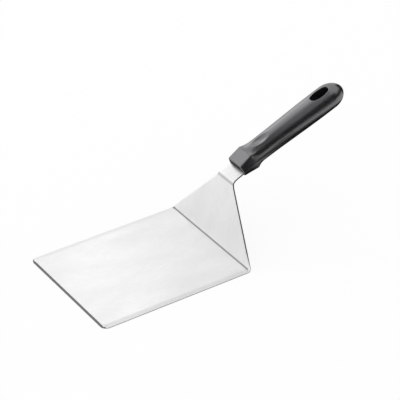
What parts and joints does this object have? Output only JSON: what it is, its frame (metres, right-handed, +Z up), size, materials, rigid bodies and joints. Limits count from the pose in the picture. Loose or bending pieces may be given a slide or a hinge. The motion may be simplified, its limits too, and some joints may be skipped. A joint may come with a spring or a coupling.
{
  "type": "plancha spatula",
  "caption": "Wide plancha spatula: flat brushed steel blade with a steep bent shoulder and neck, its tang locked in a moulded black handle with thumb dish and hanging slot.",
  "frame": {"origin": "middle of the flat blade's underside", "axes": "+X from the front edge towards the handle, +Y across the blade, +Z up from the blade"},
  "size_m": [0.2884, 0.12, 0.1176],
  "materials": {
    "steel": "fine brushed grain along the blade",
    "plastic": "satin moulded black with a fine texture"
  },
  "bodies": {
    "root": {"blade": "steel", "handle": "plastic"}
  },
  "joints": []
}
